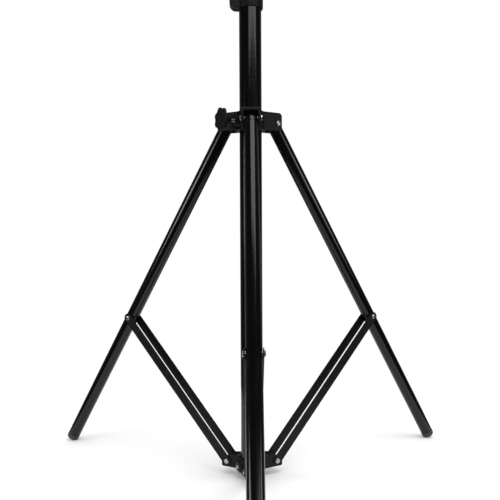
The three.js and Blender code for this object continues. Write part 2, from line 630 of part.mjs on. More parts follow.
// Strip with round ends, from the lower hinge at the origin up to the brace joint.
function braceStrip() {
  const outline = new THREE.Shape();
  outline.absarc(0, 0, BRACE_HALF_WIDTH, Math.PI, 2 * Math.PI);
  outline.absarc(0, BRACE_LENGTH, BRACE_HALF_WIDTH, 0, Math.PI);
  outline.closePath();
  for (const end of [0, BRACE_LENGTH]) {
    outline.holes.push(roundHole(0, end, PIN_R + GAP));
  }
  return legPlate(outline, BRACE_THICKNESS);
}

for (const [side, azimuth] of Object.entries(LEGS)) {
  const brace = station(stand, azimuth, BRACE_PIVOT_R, BRACE_PIVOT_Z, BRACE_SPREAD);
  for (const [hand, direction] of [['a', 1], ['b', -1]]) {
    const middle = direction * (BRACE_INNER + BRACE_THICKNESS / 2);
    piece(brace, `brace_${side}_${hand}`, braceStrip().translate(middle, 0, 0), satinPaint());
    const end = alongX(rivetEnd(BRACE_INNER, BRACE_OUTER + GAP));
    if (direction < 0) end.rotateZ(Math.PI);
    piece(brace, `brace_rivet_${side}_${hand}`, end.translate(0, 0, BRACE_LENGTH), zinc());
  }
}

export default stand;
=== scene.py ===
import json
import math

import bmesh
import bpy
from mathutils import Matrix, Vector


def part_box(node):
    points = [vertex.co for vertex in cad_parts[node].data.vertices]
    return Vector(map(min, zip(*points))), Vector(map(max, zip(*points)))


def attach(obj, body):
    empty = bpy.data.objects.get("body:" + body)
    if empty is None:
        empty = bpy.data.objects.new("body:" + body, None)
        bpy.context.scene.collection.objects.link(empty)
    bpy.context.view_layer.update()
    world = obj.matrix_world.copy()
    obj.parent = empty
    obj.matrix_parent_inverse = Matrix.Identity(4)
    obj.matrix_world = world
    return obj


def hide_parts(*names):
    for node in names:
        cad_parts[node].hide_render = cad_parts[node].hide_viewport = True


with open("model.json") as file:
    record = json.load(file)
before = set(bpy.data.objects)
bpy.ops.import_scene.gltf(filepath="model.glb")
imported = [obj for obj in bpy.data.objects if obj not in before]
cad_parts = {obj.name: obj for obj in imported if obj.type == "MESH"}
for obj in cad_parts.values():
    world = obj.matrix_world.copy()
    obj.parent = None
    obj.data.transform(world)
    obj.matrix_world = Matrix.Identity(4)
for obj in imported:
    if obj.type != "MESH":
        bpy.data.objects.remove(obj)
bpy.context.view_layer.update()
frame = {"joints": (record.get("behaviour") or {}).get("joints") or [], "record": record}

# ------------------------------------------------------------------ dimensions, in millimetres
MM = 0.001
GAP = 0.3                         # left between pieces that touch in the real stand
record = frame["record"]
joints = {j["name"]: j for j in frame["joints"]}
body_of = {n: body for body, nodes in record["behaviour"]["bodies"].items() for n in nodes}
slot_of = {part["node"]: part["material_slot"] for part in record["subparts"]}


def span(node, axis):
    """Lowest and highest value of a CAD node along one axis, in millimetres."""
    low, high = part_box(node)
    return low[axis] / MM, high[axis] / MM


def joint_spot(name):
    """Radius from the column axis and height of a joint, in millimetres."""
    x, y, z = joints[name]["pos_m"]
    return math.hypot(x, y) / MM, z / MM


COLUMN_R = span("outer_tube", 0)[1]
COLUMN_WALL = 1.5
COLUMN_LOW, COLUMN_TOP = span("outer_tube", 2)
MAST_R = span("mast_tube", 0)[1]
MAST_WALL = 1.5
MAST_LOW, MAST_TOP = span("mast_tube", 2)
LEG_R = 12.5
LEG_WALL = 1.5
PIN_R = 3.0

LEG_PIVOT_R, LEG_PIVOT_Z = joint_spot("leg_hinge_front")
BRACE_PIVOT_R, BRACE_PIVOT_Z = joint_spot("brace_hinge_front")
LEG_SPREAD = math.radians(31.92)  # from upright, with the legs open
LEG_UPPER = 443.4                 # along a leg, from its hinge to the brace rivet
BRACE_LENGTH = 349.5              # between the two rivets of a strip
JOINT_R = LEG_PIVOT_R + LEG_UPPER * math.sin(LEG_SPREAD)
BRACE_SPREAD = math.asin((JOINT_R - BRACE_PIVOT_R) / BRACE_LENGTH)
KNOB_AZIMUTH = -math.pi / 3
LEGS = {"front": 0.0, "right": 2 * math.pi / 3, "left": -2 * math.pi / 3}
FLOOR_Z = min(span(f"foot_cap_{side}", 2)[0] for side in LEGS)

# ------------------------------------------------------------------ placing
# A shape made about +Z is turned to lie along +X, along +Y, or outward along -Y.
ALONG_X = Matrix.Rotation(math.pi / 2, 4, "Y")
ALONG_Y = Matrix.Rotation(-math.pi / 2, 4, "X")
OUTWARD = Matrix.Rotation(math.pi / 2, 4, "X")
# Plates are drawn as (distance from the column, height) and spread evenly sideways.
LEG_PLANE = Matrix(((0, 0, -1, 0), (-1, 0, 0, 0), (0, 1, 0, 0), (0, 0, 0, 1)))


def station(azimuth, radius=0.0, height=0.0, tilt=0.0):
    """Place at a radius from the column axis, turned round it, then tilted in the leg's plane."""
    spot = Matrix.Translation(Vector((0, -radius, height)) * MM)
    return Matrix.Rotation(azimuth, 4, "Z") @ spot @ Matrix.Rotation(tilt, 4, "X")


def offset(x=0.0, z=0.0):
    return Matrix.Translation(Vector((x, 0, z)) * MM)


# ------------------------------------------------------------------ mesh building
LARGE = 128                       # sides of the column, mast, clamp and collars
SMALL = 48                        # sides of pins and bolts, and of their holes
STRAIGHT = math.pi - 0.02         # an outline's corner flatter than this isn't rounded
ROUND_LIMIT = 0.45                # the most of an outline's side that one rounding may take
PLATE_BEVEL_STEPS = 3
PLATE_HOLE_SIDES = 40
WELD = 0.002
THREAD_DEPTH = 0.54               # share of the pitch
THREAD_CREST = 1.25               # above 1 leaves a narrow flat on the ridge
THREAD_STEPS = 8                  # rings in one turn
THREAD_SIDES = 32
DOME_EDGE = 0.25
DOME_RIM = 0.6
DOME_DIMPLE = 0.35
DOME_STEPS = 8
ROUND_STEPS = 4
ON_AXIS = 1e-6                    # a smaller radius than this is the axis itself


def soften(points, radius, closed=False):
    """Rounds each corner of an outline; a point's third value overrides the radius."""
    count = len(points)
    out = []
    for i, point in enumerate(points):
        here = Vector(point[:2])
        size = point[2] if len(point) > 2 else radius
        if (not closed and i in (0, count - 1)) or size <= 0:
            out.append(tuple(here))
            continue
        before = Vector(points[i - 1][:2]) - here
        after = Vector(points[(i + 1) % count][:2]) - here
        bend = before.angle(after)
        if bend > STRAIGHT:
            out.append(tuple(here))
            continue
        reach = min(size / math.tan(bend / 2), ROUND_LIMIT * before.length, ROUND_LIMIT * after.length)
        start = here + before.normalized() * reach
        end = here + after.normalized() * reach
        for k in range(ROUND_STEPS + 1):
            t = k / ROUND_STEPS
            out.append(tuple(start * (1 - t) ** 2 + here * 2 * t * (1 - t) + end * t * t))
    return out


def make_mesh(name, vertices, faces, place=None):
    mesh = bpy.data.meshes.new(name)
    mesh.from_pydata([Vector(v) * MM for v in vertices], [], faces)
    mesh.validate()
    obj = bpy.data.objects.new(name, mesh)
    bpy.context.scene.collection.objects.link(obj)
    if place is not None:
        obj.matrix_world = place
    return obj


def turned(name, profile, segments=96, closed=False, place=None):
    """Solid about +Z. A profile point is (radius, height), or a function of the angle that
    gives them. An open profile starts and ends on the axis."""
    vertices, rings = [], []
    for point in profile:
        if not callable(point) and point[0] < ON_AXIS:
            rings.append([len(vertices)] * segments)
            vertices.append((0, 0, point[1]))
            continue
        ring = []
        for j in range(segments):
            angle = 2 * math.pi * j / segments
            radius, height = point(angle) if callable(point) else point[:2]
            ring.append(len(vertices))
            vertices.append((radius * math.cos(angle), radius * math.sin(angle), height))
        rings.append(ring)
    faces = []
    pairs = list(zip(rings, rings[1:] + (rings[:1] if closed else [])))
    if not closed:
        pairs = pairs[:len(rings) - 1]
    for lower, upper in pairs:
        for j in range(segments):
            k = (j + 1) % segments
            corners = [lower[j], lower[k], upper[k], upper[j]]
            faces.append([c for i, c in enumerate(corners) if c not in corners[:i]])
    return make_mesh(name, vertices, faces, place)


def threaded(name, radius, low, high, pitch, place):
    """Rod about +Z with a helical thread that fades into the core over one pitch at each end."""
    depth = THREAD_DEPTH * pitch
    count = int((high - low) / pitch * THREAD_STEPS)
    vertices, faces = [(0, 0, low)], []
    for i in range(count + 1):
        height = low + (high - low) * i / count
        fade = min(1.0, (height - low) / pitch, (high - height) / pitch)
        for j in range(THREAD_SIDES):
            phase = (height / pitch - j / THREAD_SIDES) % 1.0
            ridge = 1 - abs(2 * phase - 1)
            here = radius - depth * (1 - fade * min(1.0, THREAD_CREST * ridge))
            angle = 2 * math.pi * j / THREAD_SIDES
            vertices.append((here * math.cos(angle), here * math.sin(angle), height))
    vertices.append((0, 0, high))
    last = len(vertices) - 1
    for j in range(THREAD_SIDES):
        k = (j + 1) % THREAD_SIDES
        faces.append([0, 1 + k, 1 + j])
        for i in range(count):
            a, b = 1 + i * THREAD_SIDES, 1 + (i + 1) * THREAD_SIDES
            faces.append([a + j, a + k, b + k, b + j])
        faces.append([last, last - THREAD_SIDES + j, last - THREAD_SIDES + k])
    return make_mesh(name, vertices, faces, place)


def plate(name, outline, thickness, edge, place, holes=()):
    """Flat plate with rounded edges, cut from an outline and centred on its own plane.
    Each hole is (x, y, radius)."""
    curve = bpy.data.curves.new(name, "CURVE")
    curve.dimensions = "2D"
    curve.fill_mode = "BOTH"
    curve.extrude = (thickness / 2 - edge) * MM
    curve.bevel_depth = edge * MM
    curve.bevel_resolution = PLATE_BEVEL_STEPS
    curve.offset = -edge * MM
    rings = [list(outline)]
    for x, y, radius in holes:
        turn = [2 * math.pi * i / PLATE_HOLE_SIDES for i in range(PLATE_HOLE_SIDES)]
        rings.append([(x + radius * math.cos(a), y - radius * math.sin(a)) for a in turn])
    for ring in rings:
        spline = curve.splines.new("POLY")
        spline.points.add(len(ring) - 1)
        for point, (x, y) in zip(spline.points, ring):
            point.co = (x * MM, y * MM, 0, 1)
        spline.use_cyclic_u = True
    holder = bpy.data.objects.new(name, curve)
    bpy.context.scene.collection.objects.link(holder)
    mesh = applied(holder)
    bpy.data.objects.remove(holder)
    cleaned = bmesh.new()
    cleaned.from_mesh(mesh)
    bmesh.ops.remove_doubles(cleaned, verts=cleaned.verts, dist=WELD * MM)
    bmesh.ops.recalc_face_normals(cleaned, faces=cleaned.faces)
    cleaned.to_mesh(mesh)
    cleaned.free()
    obj = bpy.data.objects.new(name, mesh)
    bpy.context.scene.collection.objects.link(obj)
    obj.matrix_world = place
    return obj


def block(name, size, place):
    """Plain box that only cuts; size is (x, y, z) about its centre."""
    x, y, z = (s / 2 for s in size)
    corners = [(a, b, c) for a in (-x, x) for b in (-y, y) for c in (-z, z)]
    faces = [(0, 1, 3, 2), (4, 6, 7, 5), (0, 4, 5, 1), (2, 3, 7, 6), (0, 2, 6, 4), (1, 5, 7, 3)]
    return make_mesh(name, corners, faces, place)


def applied(obj):
    """The object's mesh with its modifiers applied."""
    bpy.context.view_layer.update()
    graph = bpy.context.evaluated_depsgraph_get()
    return bpy.data.meshes.new_from_object(obj.evaluated_get(graph))


def combine(target, others, operation):
    """Joins the others to the target, or cuts them from it, and removes them."""
    group = bpy.data.collections.new("operands")
    for other in others:
        group.objects.link(other)
    step = target.modifiers.new("join", "BOOLEAN")
    step.operation = operation
    step.solver = "EXACT"
    step.use_self = True
    step.operand_type = "COLLECTION"
    step.collection = group
    mesh = applied(target)
    target.modifiers.clear()
    target.data = mesh
    for other in others:
        bpy.data.objects.remove(other)
    bpy.data.collections.remove(group)
    return target


def unite(target, *others):
    return combine(target, list(others), "UNION")


def cut(target, *others):
    return combine(target, list(others), "DIFFERENCE")


def rod(radius, low, high, place=None, segments=SMALL):
    profile = [(0, low), (radius, low), (radius, high), (0, high)]
    return turned("cutter", profile, segments, place=place)


def arc(x, y, radius, start, end, steps=12):
    turn = [math.radians(start + (end - start) * i / steps) for i in range(steps + 1)]
    return [(x + radius * math.cos(a), y + radius * math.sin(a)) for a in turn]


def dome(base, radius, height):
    """Profile of a domed head from its flat underside to the axis, with a shallow centre dimple."""
    points = [(radius - DOME_EDGE, base), (radius, base + DOME_EDGE), (radius, base + DOME_RIM)]
    rise = height - DOME_RIM
    for i in range(1, DOME_STEPS):
        angle = i / DOME_STEPS * math.pi / 2
        points.append((radius * math.cos(angle), base + DOME_RIM + rise * math.sin(angle)))
    points.append((0, base + height - DOME_DIMPLE))
    return points


def flipped(profile):
    """The same profile end for end, still listed anticlockwise."""
    return [(r, -z) for r, z in reversed(profile)]


def show(obj, node, smooth_angle=32):
    """Finishes a piece: name, shading, material, and its place in the frame."""
    obj.name = f"{node}_shape"
    obj.data.name = obj.name
    mesh = obj.data
    mesh.polygons.foreach_set("use_smooth", [True] * len(mesh.polygons))
    mesh.set_sharp_from_angle(angle=math.radians(smooth_angle))
    normals = obj.modifiers.new("normals", "WEIGHTED_NORMAL")
    normals.keep_sharp = True
    normals.weight = 80
    mesh.materials.clear()
    mesh.materials.append(materials[slot_of[node]])
    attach(obj, body_of[node])
    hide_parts(node)


# ------------------------------------------------------------------ materials
class Nodes:
    """Small helper round one material's node tree."""

    def __init__(self, name):
        self.material = bpy.data.materials.new(name)
        self.material.use_nodes = True
        self.tree = self.material.node_tree
        self.shader = self.tree.nodes["Principled BSDF"]
        self.place = self.tree.nodes.new("ShaderNodeTexCoord").outputs["Object"]

    def add(self, kind, inputs=None, **settings):
        node = self.tree.nodes.new(kind)
        for key, value in settings.items():
            setattr(node, key, value)
        for key, value in (inputs or {}).items():
            if isinstance(value, bpy.types.NodeSocket):
                self.tree.links.new(value, node.inputs[key])
            else:
                node.inputs[key].default_value = value
        return node

    def noise(self, scale, detail, stretch=None):
        """Noise in the piece's own coordinates; scale is per metre."""
        where = self.place
        if stretch:
            where = self.add("ShaderNodeMapping", {"Vector": where, "Scale": stretch}).outputs[0]
        node = self.add("ShaderNodeTexNoise", {"Vector": where, "Scale": scale, "Detail": detail})
        return node.outputs["Fac"]

    def spread(self, value, low, high, to_low, to_high):
        node = self.add("ShaderNodeMapRange", {
            "Value": value, "From Min": low, "From Max": high, "To Min": to_low, "To Max": to_high},
            clamp=True)
        return node.outputs[0]

    def math(self, operation, a, b=0.0):
        return self.add("ShaderNodeMath", {0: a, 1: b}, operation=operation).outputs[0]

    def blend(self, factor, a, b):
        node = self.add("ShaderNodeMix", {"Factor": factor, "A": a, "B": b}, data_type="RGBA")
        return node.outputs["Result"]

    def axis(self, which):
        return self.add("ShaderNodeSeparateXYZ", {0: self.place}).outputs[which]

    def bump(self, layers):
        """Layers are (height, strength, distance in metres), laid one on another."""
        normal = None
        for height, strength, distance in layers:
            inputs = {"Height": height, "Strength": strength, "Distance": distance}
            if normal is not None:
                inputs["Normal"] = normal
            normal = self.add("ShaderNodeBump", inputs).outputs[0]
        return normal

    def finish(self, color, roughness, bump, **fixed):
        links = self.tree.links
        links.new(color, self.shader.inputs["Base Color"])
        links.new(roughness, self.shader.inputs["Roughness"])
        links.new(self.bump(bump), self.shader.inputs["Normal"])
        for key, value in fixed.items():
            self.shader.inputs[key.replace("_", " ")].default_value = value
        return self.material


def rgb(value, warmth=0.0):
    return (value * (1 + warmth), value, value * (1 - warmth), 1.0)


def gloss_paint():
    """Black enamel on drawn tube: orange peel, drawing lines, faint rubs and dust."""
    n = Nodes("gloss_black_enamel")
    tone = n.noise(14, 4)
    lines = n.noise(260, 3, stretch=(1, 1, 0.012))
    dust = n.spread(n.noise(1900, 2), 0.70, 0.78, 0.0, 1.0)
    rubs = n.spread(n.noise(520, 4, stretch=(1, 1, 0.02)), 0.60, 0.72, 0.0, 1.0)
    patch = n.spread(n.noise(9, 2), 0.45, 0.65, 0.0, 1.0)
    rubs = n.math("MULTIPLY", rubs, patch)
    color = n.blend(tone, rgb(0.0011), rgb(0.0022, -0.06))
    color = n.blend(n.math("MULTIPLY", dust, 0.10), color, rgb(0.16, 0.05))
    color = n.blend(n.math("MULTIPLY", rubs, 0.05), color, rgb(0.10))
    roughness = n.spread(lines, 0.3, 0.7, 0.13, 0.19)
    roughness = n.math("ADD", roughness, n.math("MULTIPLY", rubs, 0.10))
    roughness = n.math("ADD", roughness, n.math("MULTIPLY", dust, 0.15))
    peel = n.noise(330, 2)
    fine = n.noise(1500, 2)
    bump = [(peel, 0.16, 0.0004), (fine, 0.05, 0.0002), (lines, 0.05, 0.0003)]
    return n.finish(color, roughness, bump, IOR=1.38)


def satin_metal():
    """Dark powder coat on pressed steel and castings: fine grain, chalky rubs on the high spots."""
    n = Nodes("satin_powder_coat")
    tone = n.noise(45, 4)
    grain = n.noise(2600, 3)
    coarse = n.noise(700, 3)
    rub = n.spread(n.noise(120, 5), 0.56, 0.72, 0.0, 1.0)
    rub = n.math("MULTIPLY", rub, n.spread(grain, 0.45, 0.62, 0.0, 1.0))
    color = n.blend(tone, rgb(0.0042, 0.02), rgb(0.0075, 0.03))
    color = n.blend(n.math("MULTIPLY", rub, 0.20), color, rgb(0.035, 0.03))
    roughness = n.spread(coarse, 0.3, 0.7, 0.28, 0.38)
    roughness = n.math("ADD", roughness, n.math("MULTIPLY", rub, 0.12))
    bump = [(coarse, 0.22, 0.0003), (grain, 0.30, 0.0002)]
    return n.finish(color, roughness, bump, IOR=1.22)


def moulded_plastic(name, low, high, rough):
    """Glass-filled nylon: spark-eroded grain, and soft flow marks that change tone and sheen."""
    n = Nodes(name)
    tone = n.noise(60, 3)
    grain = n.noise(1700, 2)
    cells = n.add("ShaderNodeTexVoronoi", {"Vector": n.place, "Scale": 1300.0}).outputs["Distance"]
    flow = n.noise(36, 5, stretch=(1, 1, 0.35))
    color = n.blend(tone, rgb(low, 0.01), rgb(high, -0.02))
    color = n.blend(n.spread(flow, 0.58, 0.70, 0.0, 0.30), color, rgb(high * 1.5))
    roughness = n.math("ADD", n.spread(flow, 0.3, 0.7, rough - 0.05, rough + 0.06),
                       n.spread(grain, 0.3, 0.7, -0.03, 0.03))
    bump = [(cells, 0.22, 0.0002), (grain, 0.22, 0.0002), (flow, 0.08, 0.0008)]
    return n.finish(color, roughness, bump, IOR=1.22)


TURNING_MARKS = 21000.0           # radians per metre, which puts the marks 0.3 mm apart


def zinc():
    """Bright zinc plate on steel fasteners: spangle, turning marks and a little tarnish."""
    n = Nodes("bright_zinc")
    spangle = n.add("ShaderNodeTexVoronoi", {"Vector": n.place, "Scale": 900.0}).outputs["Color"]
    spangle = n.add("ShaderNodeSeparateColor", {0: spangle}).outputs[0]
    tarnish = n.spread(n.noise(420, 4), 0.50, 0.68, 0.0, 1.0)
    across = n.math("SQRT", n.math("ADD", n.math("POWER", n.axis(0), 2.0),
                                   n.math("POWER", n.axis(1), 2.0)))
    rings = n.math("SINE", n.math("MULTIPLY", across, TURNING_MARKS))
    color = n.blend(spangle, rgb(0.34, -0.005), rgb(0.46, 0.01))
    color = n.blend(n.math("MULTIPLY", tarnish, 0.45), color, (0.25, 0.23, 0.19, 1.0))
    roughness = n.spread(spangle, 0.0, 1.0, 0.20, 0.30)
    roughness = n.math("ADD", roughness, n.math("MULTIPLY", tarnish, 0.16))
    bump = [(rings, 0.10, 0.0001), (n.noise(2400, 2), 0.10, 0.0001)]
    return n.finish(color, roughness, bump, Metallic=1.0)


def foot_rubber():
    """Matt rubber, scuffed and dusty towards the end that stands on the floor."""
    n = Nodes("foot_rubber")
    tone = n.noise(90, 4)
    scuff = n.noise(650, 5)
    worn = n.math("MULTIPLY", n.spread(n.axis(2), FOOT_WEAR_TOP, FOOT_WEAR_END, 0.0, 1.0),
                  n.spread(scuff, 0.45, 0.65, 0.0, 1.0))
    color = n.blend(tone, rgb(0.020), rgb(0.030))
    color = n.blend(n.math("MULTIPLY", worn, 0.5), color, rgb(0.085, 0.06))
    roughness = n.spread(tone, 0.3, 0.7, 0.52, 0.66)
    bump = [(n.noise(1500, 3), 0.30, 0.0002), (scuff, 0.15, 0.0004)]
    return n.finish(color, roughness, bump, IOR=1.5)


# ------------------------------------------------------------------ a material for each slot
# The rubber's wear starts and ends by the foot's own height, so the foot's lengths come first.
LEG_FOOT_R = LEG_R + 0.2
FOOT_CORNER = 5.0
FOOT_BARREL = 12.0
# LEG_END is the foot's length below the hinge, along the leg, that sets its round corner on the floor.
LEG_END = FOOT_CORNER + (LEG_PIVOT_Z - FLOOR_Z - FOOT_CORNER
                         - (LEG_FOOT_R - FOOT_CORNER) * math.sin(LEG_SPREAD)) / math.cos(LEG_SPREAD)
FOOT_WEAR_TOP = -(LEG_END - 8) * MM
FOOT_WEAR_END = -(LEG_END + 0.5) * MM

materials = {
    "gloss_black_paint": gloss_paint(),
    "satin_black_metal": satin_metal(),
    "black_plastic": moulded_plastic("grained_nylon", 0.0035, 0.0060, 0.46),
    "inner_plastic": moulded_plastic("smooth_nylon", 0.012, 0.020, 0.42),
    "foot_rubber": foot_rubber(),
    "zinc_fasteners": zinc(),
}


# ------------------------------------------------------------------ column and mast
TUBE_EDGE = 0.35
LEAD_IN = 1.0                     # chamfer that guides a plug into its bore


def tube_profile(outer, wall, low, high):
    corners = [(outer - wall, low), (outer, low), (outer, high), (outer - wall, high)]
    return soften(corners, TUBE_EDGE, closed=True)


def plain_tube(node, outer, wall, low, high):
    show(turned("tube", tube_profile(outer, wall, low, high), LARGE, closed=True), node)


def column():
    """Tube, and a flanged plug with a shallow recess below and a hollow spigot up the bore."""
    plain_tube("outer_tube", COLUMN_R, COLUMN_WALL, COLUMN_LOW, COLUMN_TOP)
    low, high = span("column_end_cap", 2)
    plug = COLUMN_R - COLUMN_WALL - GAP
    flange = COLUMN_LOW - GAP
    rim = 0.8
    recess_r, recess = 6.0, 0.5
    spigot_wall, spigot_floor = 4.0, low + 6
    taper, taper_length = 1.5, 2.0
    profile = soften([
        (0, low + recess), (recess_r - recess, low + recess), (recess_r, low),
        (COLUMN_R - rim, low, 0.5), (COLUMN_R, low + rim, 0.5), (COLUMN_R, flange, 0.3),
        (plug, flange, 0.1), (plug, high - taper_length), (plug - taper, high),
        (plug - spigot_wall, high), (plug - spigot_wall, spigot_floor), (0, spigot_floor),
    ], 0.3)
    show(turned("cap", profile, LARGE), "column_end_cap")


def mast():
    """Tube, a top plug with a ring groove in its face, and the sleeve that guides the lower end."""
    plain_tube("mast_tube", MAST_R, MAST_WALL, MAST_LOW, MAST_TOP)
    bore = MAST_R - MAST_WALL - GAP
    low, high = span("mast_top_cap", 2)
    seat = MAST_TOP + GAP
    groove_outer, groove_inner = 9.4, 6.6
    groove, slope = high - 0.5, 0.4
    profile = soften([
        (0, low), (bore - LEAD_IN, low), (bore, low + LEAD_IN), (bore, seat, 0.1),
        (MAST_R, seat, 0.3), (MAST_R, high - LEAD_IN, 0.8), (MAST_R - LEAD_IN, high, 0.6),
        (groove_outer, high, 0.2), (groove_outer - slope, groove, 0.2),
        (groove_inner + slope, groove, 0.2), (groove_inner, high, 0.2), (0, high),
    ], 0.3)
    show(turned("cap", profile, LARGE), "mast_top_cap")

    low, high = span("mast_glide", 2)
    glide, glide_bore = COLUMN_R - COLUMN_WALL - GAP, 8.0
    shoulder = MAST_LOW - GAP
    profile = soften([
        (glide_bore, low), (glide - LEAD_IN, low), (glide, low + LEAD_IN), (glide, shoulder),
        (bore, shoulder), (bore, high - LEAD_IN), (bore - LEAD_IN, high), (glide_bore, high),
    ], 0.3, closed=True)
    show(turned("glide", profile, closed=True), "mast_glide")


# ------------------------------------------------------------------ fasteners
HEAD_R = 5.0
HEAD_HEIGHT = 2.4
TIP_LENGTH = 1.0
TIP_TAPER = 0.8
HEX_SIDES = 72
HEX_INSET = 0.35                  # a chamfered end's round face stops this far inside the flats
HEX_CORNER = 1.135                # corners are rounded off at this share of half the flats
HOLE_CHAMFER = 0.6
SOCKET = 3.0                      # across flats, for a hexagon key


def rivet_profile(half_grip):
    top = dome(half_grip, HEAD_R, HEAD_HEIGHT)
    return flipped(top) + [(PIN_R, -half_grip), (PIN_R, half_grip)] + top


def hexagon(across_flats, chamfer_low, chamfer_high, low, high, hole=0.0, place=None):
    """Nut or bolt head about +Z. A chamfered end is turned, so that it meets the flats in arcs."""
    half = across_flats / 2
    face = half - HEX_INSET
    slope = math.tan(math.radians(30))

    def side(end, direction, chamfered):
        def point(angle):
            off_flat = (angle + math.pi / 6) % (math.pi / 3) - math.pi / 6
            radius = min(half / math.cos(off_flat), half * HEX_CORNER)
            return radius, end + direction * (radius - face) * slope * chamfered
        return point

    inner = [(hole + HOLE_CHAMFER, low), (hole, low + HOLE_CHAMFER),
             (hole, high - HOLE_CHAMFER), (hole + HOLE_CHAMFER, high)]
    ends = (inner[:2], inner[2:]) if hole else ([(0, low)], [(0, high)])
    profile = [ends[0][0]]
    profile += [(face, low)] * chamfer_low + [side(low, 1, chamfer_low), side(high, -1, chamfer_high)]
    profile += [(face, high)] * chamfer_high + [ends[1][-1]]
    if hole:
        profile = [inner[1]] + profile + [inner[2]]
    return turned("hex", profile, HEX_SIDES, closed=bool(hole), place=place)


def bolt_profile(radius, head_base, tip, head_r, head_height):
    """Round-headed bolt about +Z, with its head just below -head_base."""
    head = flipped(dome(head_base, head_r, head_height))
    return head + [(radius, -head_base), (radius, tip - TIP_LENGTH), (radius - TIP_TAPER, tip), (0, tip)]


# ------------------------------------------------------------------ star knob
KNOB_R = 22.5
KNOB_LOBES = 7
KNOB_LOBE_SIDES = 24
KNOB_LOBE_DEPTH = 3.4
KNOB_RIM = 7.0
KNOB_EDGE = 3.2
KNOB_EDGE_STEPS = 8
KNOB_HUB_R = 9.0
KNOB_SKIRT_R = 13.4
KNOB_DISH_R = 14.2
KNOB_DISH = 1.5
KNOB_PLUG_R = 8.0


def star_knob(low, hub_length, hole_r, hole_depth, place):
    """Hub from `low`, then a lobed rim with soft edges and a dished face with a centre plug."""
    base = low + hub_length
    top = base + KNOB_RIM
    dish = top - KNOB_DISH

    def lobed(radius, height, depth):
        def point(angle):
            return radius - depth * (1 - math.cos(KNOB_LOBES * angle)) / 2, height
        return point

    hub = [(0, low + hole_depth), (hole_r, low + hole_depth), (hole_r, low + 0.4), (hole_r + 0.4, low),
           (KNOB_HUB_R - 1.2, low), (KNOB_HUB_R - 0.3, low + 0.3), (KNOB_HUB_R, low + 1.2),
           (KNOB_HUB_R, base - 4), (KNOB_HUB_R + 0.4, base - 2.4), (KNOB_HUB_R + 1.6, base - 0.9)]
    skirt = [(KNOB_HUB_R + 3.2, base), lobed(KNOB_SKIRT_R, base + 0.1, 0.4)]
    rim = []
    for i in range(KNOB_EDGE_STEPS + 1):
        angle = math.radians(-90 + 180 * i / KNOB_EDGE_STEPS)
        rim.append(lobed(KNOB_R - KNOB_EDGE + KNOB_EDGE * math.cos(angle),
                         base + KNOB_RIM / 2 * (1 + math.sin(angle)), KNOB_LOBE_DEPTH))
    face = [lobed(KNOB_DISH_R, top - 0.3, 0.6), (KNOB_DISH_R - 1.6, dish + 0.2),
            (KNOB_PLUG_R + 0.6, dish), (KNOB_PLUG_R + 0.2, dish + 0.2), (KNOB_PLUG_R, top - 0.6),
            (KNOB_PLUG_R - 0.6, top - 0.25), (KNOB_PLUG_R / 2, top - 0.05), (0, top)]
    return turned("knob", hub + skirt + rim + face, KNOB_LOBES * KNOB_LOBE_SIDES, place=place)


# ------------------------------------------------------------------ lower collar
BRACE_THICKNESS = 1.5
BRACE_INNER = 13.2                # half the distance between a brace's two strips
BRACE_OUTER = BRACE_INNER + BRACE_THICKNESS
LOWER_LOW = 9.0
LOWER_RING_TOP = 29.0
LOWER_HIGH = 33.0
LOWER_BORE = COLUMN_R + GAP
LOWER_R = COLUMN_R + 4.2
LOWER_REACH = 59.0
LOWER_CORNER = 6.0
LOWER_ROOT = 18.0                 # webs and cores are drawn from here and cut back to the ring
LOWER_BOSS_REACH = 31.0
LOWER_BOSS = station(KNOB_AZIMUTH, 0, 19.0) @ OUTWARD
FACET_TURN = 0.021                # keeps the boss's facets from lying in the ring's


def lower_yokes(inside_wall):
    """Three yokes, each two cheeks with a web below and a core at the ring. Webs and cores end at
    the inside_wall radius, which is within the ring's wall."""
    cheek_root = 19.0
    cheek_outer = BRACE_INNER - GAP
    cheek_thickness = 3.0
    web_width = 2 * cheek_outer - 2
    web_reach, web_top = LOWER_REACH - 1.5, LOWER_LOW + 3.5
    core_reach = 30.0
    cheek = (soften([(cheek_root, LOWER_LOW), (LOWER_REACH - 1, LOWER_LOW, 2.5),
                     (LOWER_REACH, LOWER_LOW + 3, 3.0)], 1.0)
             + arc(LOWER_REACH - LOWER_CORNER, BRACE_PIVOT_Z + 4, LOWER_CORNER, 0, 60)
             + soften([(BRACE_PIVOT_R - 14, LOWER_HIGH, 4.0), (cheek_root, LOWER_HIGH)], 4.0))
    web = [(LOWER_ROOT, LOWER_LOW), (web_reach - 1.5, LOWER_LOW), (web_reach, LOWER_LOW + 1.2),
           (web_reach, web_top), (LOWER_ROOT, web_top)]
    core_low, core_high = LOWER_LOW + 0.1, LOWER_HIGH - 0.1
    core = [(LOWER_ROOT, core_low), (core_reach, core_low), (core_reach, core_high), (LOWER_ROOT, core_high)]
    parts = []
    for azimuth in LEGS.values():
        here = station(azimuth) @ LEG_PLANE
        for direction in (1, -1):
            middle = direction * (cheek_outer - cheek_thickness / 2)
            parts.append(plate("cheek", cheek, cheek_thickness, edge=0.7,
                               holes=[(BRACE_PIVOT_R, BRACE_PIVOT_Z, PIN_R + GAP)],
                               place=here @ offset(z=middle)))
        for solid in (plate("web", web, web_width, edge=0.5, place=here),
                      plate("core", soften(core, 1.2, closed=True), web_width, edge=0.5, place=here)):
            parts.append(cut(solid, rod(inside_wall, -2, LOWER_HIGH + 2, segments=100)))
    return parts


